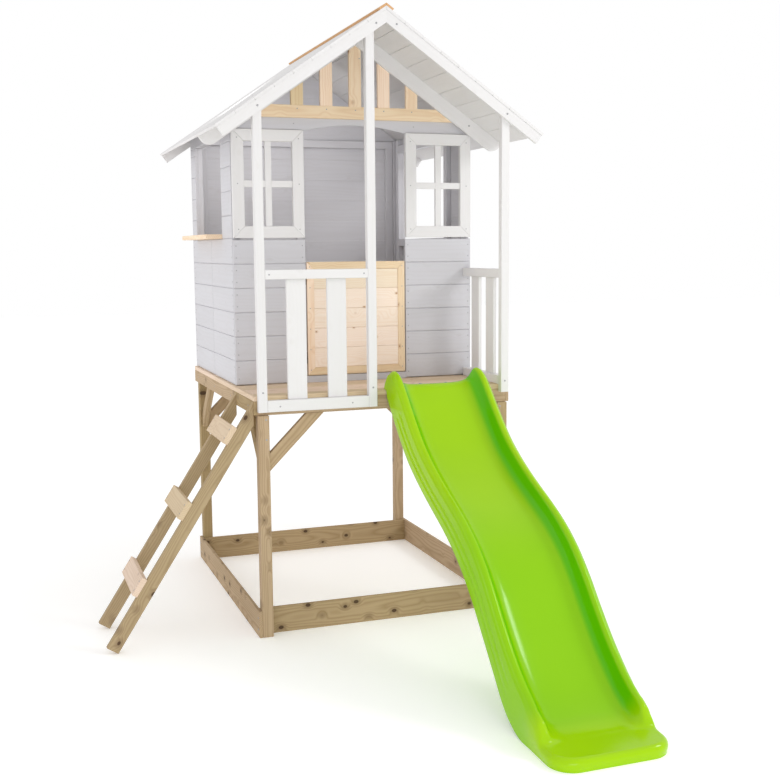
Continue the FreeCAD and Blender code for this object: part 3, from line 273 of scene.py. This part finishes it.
def bare_pine(name, early, late, knot_colour, ring_width, knot_size, contrast, roughness):
    """Planed softwood: pale early wood, darker late wood, fine fibre, tone by the board, and knots."""
    made, tree, shader = finish_coat(name)
    in_log = put(tree, "Attribute", attribute_name="in_log").outputs["Vector"]
    tone = put(tree, "Attribute", attribute_name="tone").outputs["Fac"]
    wood = put(tree, "Group", node_tree=growth)
    tree.links.new(in_log, wood.inputs["In Log"])
    wood.inputs["Ring Width"].default_value = ring_width
    wood.inputs["Wander"].default_value = 0.05
    wood.inputs["Knot Size"].default_value = knot_size
    figure = sums(tree, "MULTIPLY_ADD", wood.outputs["Rings"], contrast,
                  sums(tree, "MULTIPLY", wood.outputs["Fibre"], 0.35))
    figure = sums(tree, "ADD", figure, sums(tree, "MULTIPLY_ADD", wood.outputs["Cloud"], 0.5, -0.25))
    colour = mixed(tree, figure, (*early, 1.0), (*late, 1.0))
    own = fade(tree, tone, 0.0, 1.0, 0.86, 1.08)
    shaded = put(tree, "CombineColor", {0: own, 1: own, 2: sums(tree, "MULTIPLY", own, own)}).outputs[0]
    colour = mixed(tree, 1.0, colour, shaded, "MULTIPLY")
    halo = sums(tree, "MULTIPLY", wood.outputs["Knot Shade"], 0.5)
    colour = mixed(tree, halo, colour, (*[0.5 * (a + b) for a, b in zip(late, knot_colour)], 1.0))
    colour = mixed(tree, sums(tree, "MULTIPLY", wood.outputs["Knot"], 0.9), colour, (*knot_colour, 1.0))
    tree.links.new(colour, shader.inputs["Base Color"])
    rough = sums(tree, "MULTIPLY_ADD", wood.outputs["Fibre"], 0.18, roughness - 0.09)
    tree.links.new(rough, shader.inputs["Roughness"])
    shader.inputs["Specular IOR Level"].default_value = 0.3
    relief = sums(tree, "MULTIPLY_ADD", wood.outputs["Rings"], -0.5, wood.outputs["Fibre"])
    raised(tree, shader, relief, 0.0004, 0.7)
    return made


def finish(material, *names):
    """Gives nodes of the frame a material all over."""
    for name in names:
        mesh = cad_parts[name].data
        mesh.materials.clear()
        mesh.materials.append(material)


def coat(material, *names):
    """Gives wooden nodes of the frame a finish, and lays the grain of their boards."""
    for name in names:
        lay_grain(name)
    finish(material, *names)


treated_pine = bare_pine("treated_pine", early=(0.480, 0.355, 0.215), late=(0.300, 0.200, 0.100),
                         knot_colour=(0.060, 0.030, 0.014), ring_width=0.0045, knot_size=0.125,
                         contrast=0.55, roughness=0.72)
coat(treated_pine, "tower_posts", "ground_boards", "deck_beams", "deck_joists", "knee_braces", "deck_fascia")

# The deck and the ladder: lighter treated boards, with the same grain but less of the green salt.
deck_pine = bare_pine("deck_pine", early=(0.740, 0.590, 0.440), late=(0.560, 0.405, 0.265),
                      knot_colour=(0.16, 0.07, 0.03), ring_width=0.0050, knot_size=0.065,
                      contrast=0.4, roughness=0.7)
coat(deck_pine, "deck_boards", "deck_edge_strips", "ladder_rungs")
ladder_pine = bare_pine("ladder_pine", early=(0.500, 0.380, 0.245), late=(0.320, 0.220, 0.125),
                        knot_colour=(0.070, 0.034, 0.016), ring_width=0.0045, knot_size=0.125,
                        contrast=0.55, roughness=0.7)
coat(ladder_pine, "ladder_rails")

# The paintwork: two coats of water-based paint, brushed along the boards, through which the grain
# and the knots just show.
brushed = bpy.data.node_groups.new("Painted Timber", "ShaderNodeTree")
for label, kind in (("In Log", "NodeSocketVector"), ("Tone", "NodeSocketFloat"), ("Paint", "NodeSocketColor"),
                    ("Thin Paint", "NodeSocketColor"), ("Show", "NodeSocketFloat")):
    brushed.interface.new_socket(label, in_out="INPUT", socket_type=kind)
for label, kind in (("Colour", "NodeSocketColor"), ("Roughness", "NodeSocketFloat"),
                    ("Height", "NodeSocketFloat")):
    brushed.interface.new_socket(label, in_out="OUTPUT", socket_type=kind)
given = put(brushed, "NodeGroupInput")
result = put(brushed, "NodeGroupOutput")
under = put(brushed, "Group", node_tree=growth)
brushed.links.new(given.outputs["In Log"], under.inputs["In Log"])
under.inputs["Ring Width"].default_value = 0.009
under.inputs["Wander"].default_value = 0.05
under.inputs["Knot Size"].default_value = 0.07
thin = sums(brushed, "MULTIPLY_ADD", under.outputs["Rings"], 0.45,
            sums(brushed, "MULTIPLY_ADD", under.outputs["Cloud"], 0.8, -0.25))
thin = sums(brushed, "ADD", thin, sums(brushed, "MULTIPLY", under.outputs["Knot Shade"], 0.5))
thin = sums(brushed, "MULTIPLY", thin, given.outputs["Show"])
painted = mixed(brushed, thin, given.outputs["Paint"], given.outputs["Thin Paint"])
own_tone = fade(brushed, given.outputs["Tone"], 0.0, 1.0, 0.965, 1.0)
own_grey = put(brushed, "CombineColor", {0: own_tone, 1: own_tone, 2: own_tone}).outputs[0]
painted = mixed(brushed, 1.0, painted, own_grey, "MULTIPLY")
brushed.links.new(painted, result.inputs["Colour"])
brush_marks = sums(brushed, "MULTIPLY_ADD", under.outputs["Fibre"], 0.2, 0.36)
brushed.links.new(brush_marks, result.inputs["Roughness"])
relief = sums(brushed, "MULTIPLY_ADD", under.outputs["Rings"], -0.45, under.outputs["Fibre"])
relief = sums(brushed, "ADD", relief, sums(brushed, "MULTIPLY", under.outputs["Knot"], 0.8))
brushed.links.new(relief, result.inputs["Height"])


def paint(name, colour, thin_colour, show):
    """Brushed paint of one colour on planed boards."""
    made, tree, shader = finish_coat(name)
    layer = put(tree, "Group", node_tree=brushed)
    in_log = put(tree, "Attribute", attribute_name="in_log").outputs["Vector"]
    tone = put(tree, "Attribute", attribute_name="tone").outputs["Fac"]
    tree.links.new(in_log, layer.inputs["In Log"])
    tree.links.new(tone, layer.inputs["Tone"])
    layer.inputs["Paint"].default_value = (*colour, 1.0)
    layer.inputs["Thin Paint"].default_value = (*thin_colour, 1.0)
    layer.inputs["Show"].default_value = show
    tree.links.new(layer.outputs["Colour"], shader.inputs["Base Color"])
    tree.links.new(layer.outputs["Roughness"], shader.inputs["Roughness"])
    shader.inputs["Specular IOR Level"].default_value = 0.4
    raised(tree, shader, layer.outputs["Height"], 0.00035, 0.6)
    return made


white_paint = paint("white_paint", (0.735, 0.722, 0.722), (0.675, 0.655, 0.635), 0.4)
coat(white_paint, "porch_posts", "front_rails", "front_rail_slats", "side_rails", "side_rail_slats",
     "window_frame_left", "window_frame_right", "front_barge_boards", "house_barge_boards",
     "rear_barge_boards", "roof_boards_left", "roof_boards_right")

# The house walls: bevelled boards in a pale lilac grey, inside and out, with the battens behind.
grey_paint = paint("grey_paint", (0.585, 0.578, 0.608), (0.530, 0.515, 0.530), 0.7)
coat(grey_paint, "front_wall_left", "front_wall_right", "front_header", "threshold", "side_wall_left",
     "side_wall_right", "rear_wall", "rear_gable", "side_wall_frames", "front_wall_frame", "rear_wall_frame")

# The bare pine: the half door, the serving shelf, the gable's beam and slats, and the ridge cap,
# all planed and left clear.
natural_pine = bare_pine("natural_pine", early=(0.890, 0.725, 0.540), late=(0.740, 0.505, 0.305),
                         knot_colour=(0.30, 0.13, 0.05), ring_width=0.0050, knot_size=0.065,
                         contrast=0.42, roughness=0.55)
coat(natural_pine, "serving_shelf", "door_frame", "gable_tie_beam", "gable_slats")
door_pine = bare_pine("door_pine", early=(0.880, 0.765, 0.625), late=(0.790, 0.610, 0.425),
                      knot_colour=(0.42, 0.22, 0.10), ring_width=0.0035, knot_size=0.05,
                      contrast=0.35, roughness=0.55)
coat(door_pine, "door_boards")
cap_pine = bare_pine("cap_pine", early=(0.660, 0.400, 0.200), late=(0.480, 0.250, 0.105),
                     knot_colour=(0.16, 0.07, 0.03), ring_width=0.0050, knot_size=0.065,
                     contrast=0.45, roughness=0.6)
coat(cap_pine, "ridge_cap")

# The fastenings: low-domed screw and bolt heads and the hinge pins, all zinc-plated, and the
# hinges of the half door, pressed from steel sheet and powder-coated black.
zinc, zinc_tree, zinc_shader = finish_coat("screw_steel")
zinc_place = put(zinc_tree, "TexCoord").outputs["Object"]
zinc_bloom = put(zinc_tree, "TexNoise", {"Vector": zinc_place, "Scale": 900.0, "Detail": 3.0}).outputs["Fac"]
zinc_tree.links.new(mixed(zinc_tree, zinc_bloom, (0.30, 0.30, 0.31, 1.0), (0.47, 0.47, 0.48, 1.0)),
                    zinc_shader.inputs["Base Color"])
zinc_shader.inputs["Metallic"].default_value = 1.0
zinc_tree.links.new(sums(zinc_tree, "MULTIPLY_ADD", zinc_bloom, 0.25, 0.3), zinc_shader.inputs["Roughness"])
finish(zinc, "hinge_pins", "slide_bolts", "white_trim_screws", "front_wall_screws", "side_wall_screws",
       "window_screws", "door_screws", "base_screws", "rung_screws", "gable_screws")

black_coat, black_tree, black_shader = finish_coat("hinge_steel")
black_place = put(black_tree, "TexCoord").outputs["Object"]
black_peel = put(black_tree, "TexNoise", {"Vector": black_place, "Scale": 1400.0,
                                          "Detail": 2.0}).outputs["Fac"]
black_tree.links.new(mixed(black_tree, black_peel, (0.018, 0.018, 0.02, 1.0), (0.035, 0.035, 0.038, 1.0)),
                     black_shader.inputs["Base Color"])
black_tree.links.new(sums(black_tree, "MULTIPLY_ADD", black_peel, 0.2, 0.4), black_shader.inputs["Roughness"])
raised(black_tree, black_shader, black_peel, 0.0002, 0.4)
finish(black_coat, "hinge_wall_leaves", "hinge_door_leaves")

# The slide: one blow-moulded length of glossy lime plastic. It hooks over the edge of the deck
# between two high ears, runs down in a wave between rolled rims, has two grooves pressed into
# each outer wall for stiffness, and ends in a flat foot with a rounded lip.
SLIDE_HALF = 0.262
SLIDE_SKIN = 0.005
WELD = 2e-5
FOOT_HALF = 0.253
FOOT_CORNER = 0.100
FOOT_FRONT = -1.842
FOOT_LIP = 0.024
FOOT_HEIGHT = 0.050
FOOT_TUCK = 0.004
WALL_LEAN = 0.011
FOOT_BEGINS = -1.700
FOOT_ASIDE = -0.013
FOOT_FLATTENS = 0.7
# where each change begins and ends, in metres in front of the posts
FOOT_TAPER = (1.35, 1.70)
FOOT_BLEND = (1.46, 1.60)
FOOT_TURNS = (1.40, 1.75)
LOW_RIM = 0.02
FOOT_END = FOOT_FRONT + WALL_LEAN
# along the bed: distance in front of the posts, height, rim height, depth of the outer wall
BED_LINE = (
    (0.034, 1.222, 0.034, 0.021), (0.012, 1.223, 0.062, 0.0215), (-0.012, 1.217, 0.078, 0.034),
    (-0.042, 1.197, 0.084, 0.048), (-0.090, 1.153, 0.085, 0.052), (-0.156, 1.088, 0.085, 0.054),
    (-0.240, 1.008, 0.085, 0.054), (-0.330, 0.931, 0.085, 0.052), (-0.430, 0.864, 0.085, 0.048),
    (-0.540, 0.803, 0.085, 0.046), (-0.655, 0.748, 0.085, 0.046), (-0.780, 0.692, 0.085, 0.050),
    (-0.895, 0.632, 0.085, 0.056), (-1.000, 0.559, 0.085, 0.060), (-1.100, 0.464, 0.085, 0.058),
    (-1.205, 0.346, 0.085, 0.056), (-1.315, 0.232, 0.085, 0.062), (-1.430, 0.137, 0.085, 0.084),
    (-1.530, 0.083, 0.085, 0.083), (-1.590, 0.065, 0.082, 0.065), (-1.635, 0.056, 0.070, 0.056),
    (-1.668, 0.053, 0.038, 0.053), (-1.692, 0.0515, 0.007, 0.0515), (-1.735, 0.0505, 0.0, 0.0505),
    (-1.790, 0.050, 0.0, 0.050), (-1.831, 0.050, 0.0, 0.050),
)
# across the bed from its middle: how far out, the rise of the bed there, and the part of the rim
# height that comes on top
BED_PROFILE = (
    (0.000, -0.003, 0.00), (0.050, -0.0027, 0.00), (0.095, -0.0018, 0.00), (0.134, 0.001, 0.00),
    (0.160, 0.0028, 0.065), (0.178, 0.004, 0.190), (0.191, 0.005, 0.370), (0.200, 0.0055, 0.580),
    (0.206, 0.006, 0.750), (0.213, 0.006, 0.875), (0.222, 0.006, 0.930), (0.231, 0.006, 0.905),
    (0.239, 0.006, 0.830), (0.2445, 0.0055, 0.720),
)


def through(points, at):
    """A point on the smooth curve through a row of points; at counts along them."""
    i = min(max(int(at), 0), len(points) - 2)
    t = at - i
    a, b, c, d = (points[min(max(i + k, 0), len(points) - 1)] for k in (-1, 0, 1, 2))
    return [0.5 * (2 * q + (r - p) * t + (2 * p - 5 * q + 4 * r - s) * t * t
                   + (3 * q - p - 3 * r + s) * t ** 3) for p, q, r, s in zip(a, b, c, d)]


def ease(value, start, end):
    """Nought before start and one after end, with a soft change between."""
    t = min(max((value - start) / (end - start), 0.0), 1.0)
    return t * t * (3.0 - 2.0 * t)


def foot_half(y, inset):
    """Half the width of the slide at y, with the foot's taper and its rounded corners."""
    half = SLIDE_HALF + (FOOT_HALF - SLIDE_HALF) * ease(-y, *FOOT_TAPER) - inset
    corner = FOOT_CORNER - inset
    into = FOOT_FRONT + FOOT_CORNER - y
    if into <= 0.0:
        return half
    return half - corner + math.sqrt(max(corner ** 2 - into ** 2, 0.0))


def from_lip(x, y):
    """How far a point of the foot lies inside its upper outline."""
    half = FOOT_HALF - WALL_LEAN
    front = FOOT_FRONT + WALL_LEAN
    corner = FOOT_CORNER - WALL_LEAN
    over_x = abs(x) - (half - corner)
    over_y = (front + corner) - y
    if over_x > 0.0 and over_y > 0.0:
        return corner - math.hypot(over_x, over_y)
    return min(half - abs(x), y - front)


def roll_inset(drop):
    """How far the foot's round edge lies inside its widest line, at a depth below its top."""
    return FOOT_LIP - math.sqrt(max(FOOT_LIP ** 2 - max(FOOT_LIP - drop, 0.0) ** 2, 0.0))


def foot_inset(t):
    """How far the foot's wall lies inside its widest line, a part t of the way down to the ground."""
    edge_drop = roll_inset(WALL_LEAN)
    return roll_inset(edge_drop + t * (FOOT_HEIGHT - edge_drop)) + FOOT_TUCK * ease(t, 0.45, 1.0)


bed_middle = (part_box("slide")[0].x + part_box("slide")[1].x) / 2.0
posts_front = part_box("tower_posts")[0].y
COLUMNS_A_POINT = 5
columns = [through(BED_PROFILE, k / COLUMNS_A_POINT)
           for k in range(COLUMNS_A_POINT * (len(BED_PROFILE) - 1) + 1)]
WALL_LEVELS = 36
WALL_SPREADS = (-0.6, 1.0)
# the stations between which the rims turn from upright, over the hook, to square with the bed
HOOK_STATIONS = (1.0, 3.0)
SLOPE_STEP = 0.02
GROOVES = ((0.36, 0.055), (0.64, 0.055))
GROOVE_DEPTH = 0.0042
GROOVE_STARTS = (0.145, 0.175)
GROOVE_ENDS = (1.18, 1.46)


def groove_at(t, y):
    """How deep the outer wall is pressed in, at a part t of its height."""
    along = ease(-y, *GROOVE_STARTS) * (1.0 - ease(-y, *GROOVE_ENDS))
    return sum(GROOVE_DEPTH * along * math.exp(-((t - at) / wide) ** 4) for at, wide in GROOVES)


def bed_row(at):
    """The points of one row across the slide, from the left outer wall's foot to the right one's."""
    y, z, rim, skirt = through(BED_LINE, at)
    ahead = through(BED_LINE, min(at + SLOPE_STEP, len(BED_LINE) - 1.0))
    behind = through(BED_LINE, max(at - SLOPE_STEP, 0.0))
    run = Vector((ahead[0] - behind[0], ahead[1] - behind[1])).normalized()
    out_y, out_z = run.y, -run.x
    hook = 1.0 - ease(at, *HOOK_STATIONS)
    out_y *= 1.0 - hook
    out_z = out_z * (1.0 - hook) + hook
    length = math.hypot(out_y, out_z)
    out_y, out_z = out_y / length, out_z / length
    on_foot = ease(-y, *FOOT_BLEND)
    squeeze = foot_half(y, WALL_LEAN) / (SLIDE_HALF - WALL_LEAN)
    half_row = []
    for u, rise, part in columns:
        v = rise * (1.0 - FOOT_FLATTENS * on_foot) + part * rim
        spread = 1.0 + ((SLIDE_HALF - WALL_LEAN) / columns[-1][0] - 1.0) * on_foot
        px, py, pz = u * squeeze * spread, y + v * out_y, z + v * out_z
        if on_foot > 0.0:
            drop = roll_inset(max(from_lip(px, py), 0.0) + WALL_LEAN)
            pz -= drop * on_foot * (1.0 - min(rim / LOW_RIM, 1.0))
        half_row.append((px, py, pz))
    top_u, top_rise, top_part = columns[-1]
    top_v = top_rise * (1.0 - FOOT_FLATTENS * on_foot) + top_part * rim
    wall = []
    for k in range(1, WALL_LEVELS + 1):
        t = k / WALL_LEVELS
        v = top_v + (-skirt - top_v) * t
        u = top_u + (SLIDE_HALF - top_u) * ease(t, *WALL_SPREADS)
        u -= groove_at(t, y)
        px, py, pz = u * squeeze, y + v * out_y, z + v * out_z
        if on_foot > 0.0:
            inset = foot_inset(t)
            along_foot = min(max((y - FOOT_BEGINS) / (FOOT_END - FOOT_BEGINS), 0.0), 1.0)
            low_y = y + (inset - WALL_LEAN) * along_foot
            flat = Vector((foot_half(low_y, inset), low_y, half_row[-1][2] * (1.0 - t)))
            px, py, pz = Vector((px, py, pz)).lerp(flat, on_foot)
        wall.append((px, py, max(pz, 0.0)))
    right_side = half_row + wall
    whole_row = [(-x, y, z) for x, y, z in reversed(right_side[1:])] + right_side
    aside = FOOT_ASIDE * ease(-y, *FOOT_TURNS)
    return [(x + aside, y, z) for x, y, z in whole_row]


ROWS_A_STATION = 8
LAST_ROWS = 16
row_at = [k / ROWS_A_STATION for k in range(ROWS_A_STATION * (len(BED_LINE) - 2))]
# the last rows close up towards the front, where the corners turn fastest
row_at += [len(BED_LINE) - 2 + math.sin(k / LAST_ROWS * math.pi / 2.0) for k in range(LAST_ROWS + 1)]
bed_rows = [bed_row(at) for at in row_at]
bed_vertices = [(x + bed_middle, y + posts_front, z) for row in bed_rows for x, y, z in row]
row_length = len(bed_rows[0])
crest = max(range(len(columns)), key=lambda k: columns[k][2])
# painted shade: a mesh value deepens the slide's green in the lower bed and where its walls rise from the
# bed, in place of the shade that falls there
LOWER_BED = (0.50, 1.10)
LOWER_BED_PAINTED_SHADE = 0.35
PAINTED_SHADE_ENDS = (1.52, 1.66)


def painted_trough_shade(y, column):
    """Painted shade in the green: deeper in the lower bed, deepest where the side walls rise from it."""
    part = columns[column][2] if column <= crest else 1.0
    painted_wall_shade = ease(part, 0.0, 0.25) * (1.0 - ease(part, 0.70, 0.92))
    painted_bed_shade = LOWER_BED_PAINTED_SHADE * ease(-y, *LOWER_BED)
    return max(painted_wall_shade, painted_bed_shade) * (1.0 - ease(-y, *PAINTED_SHADE_ENDS))


bed_painted_shade = [painted_trough_shade(through(BED_LINE, at)[0], abs(j - row_length // 2))
             for at in row_at for j in range(row_length)]
bed_faces = [(first + j, first + j + 1, first + row_length + j + 1, first + row_length + j)
             for first in range(0, (len(bed_rows) - 1) * row_length, row_length)
             for j in range(row_length - 1)]
# the front of the foot: from its lip straight down to the ground
lip = list(range((len(bed_rows) - 1) * row_length + WALL_LEVELS, len(bed_rows) * row_length - WALL_LEVELS))
upper = lip
for k in range(1, WALL_LEVELS + 1):
    t = k / WALL_LEVELS
    first = len(bed_vertices)
    for index in lip:
        x, y, z = bed_vertices[index]
        bed_vertices.append((x, FOOT_FRONT + foot_inset(t) + posts_front, z * (1.0 - t)))
    lower = list(range(first, first + len(lip)))
    bed_faces += [(upper[j], upper[j + 1], lower[j + 1], lower[j]) for j in range(len(lip) - 1)]
    upper = lower
slide_mesh = bpy.data.meshes.new("slide_moulding")
slide_mesh.from_pydata(bed_vertices, [], bed_faces)
slide_mesh.attributes.new("painted_trough_shade", "FLOAT", "POINT")
for k, value in enumerate(bed_painted_shade):
    slide_mesh.attributes["painted_trough_shade"].data[k].value = value
work = bmesh.new()
work.from_mesh(slide_mesh)
bmesh.ops.remove_doubles(work, verts=work.verts, dist=WELD)
bmesh.ops.recalc_face_normals(work, faces=work.faces)
for face in work.faces:
    face.smooth = True
work.to_mesh(slide_mesh)
work.free()
slide_moulding = bpy.data.objects.new("slide_moulding", slide_mesh)
bpy.context.scene.collection.objects.link(slide_moulding)
skin = slide_moulding.modifiers.new("skin", "SOLIDIFY")
skin.thickness = SLIDE_SKIN
skin.offset = -1.0
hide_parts("slide")
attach(slide_moulding, "playhouse")

lime, lime_tree, lime_shader = finish_coat("lime_plastic")
lime_place = put(lime_tree, "TexCoord").outputs["Object"]
lime_peel = put(lime_tree, "TexNoise", {"Vector": lime_place, "Scale": 90.0, "Detail": 2.0}).outputs["Fac"]
lime_wave = put(lime_tree, "TexNoise", {"Vector": lime_place, "Scale": 3.0, "Detail": 2.0}).outputs["Fac"]
lime_bright = mixed(lime_tree, lime_wave, (0.315, 0.575, 0.0, 1.0), (0.350, 0.620, 0.0, 1.0))
# painted shade: this mesh value mixes the lime towards a deeper green in the lower bed and at the feet of the
# walls
lime_painted_shade = put(lime_tree, "Attribute", attribute_name="painted_trough_shade").outputs["Fac"]
lime_tree.links.new(mixed(lime_tree, lime_painted_shade, lime_bright, (0.110, 0.480, 0.0, 1.0)),
                    lime_shader.inputs["Base Color"])
lime_tree.links.new(sums(lime_tree, "MULTIPLY_ADD", lime_peel, 0.08, 0.14), lime_shader.inputs["Roughness"])
lime_shader.inputs["Specular IOR Level"].default_value = 0.22
raised(lime_tree, lime_shader, lime_peel, 0.0002, 0.2)
slide_mesh.materials.append(lime)
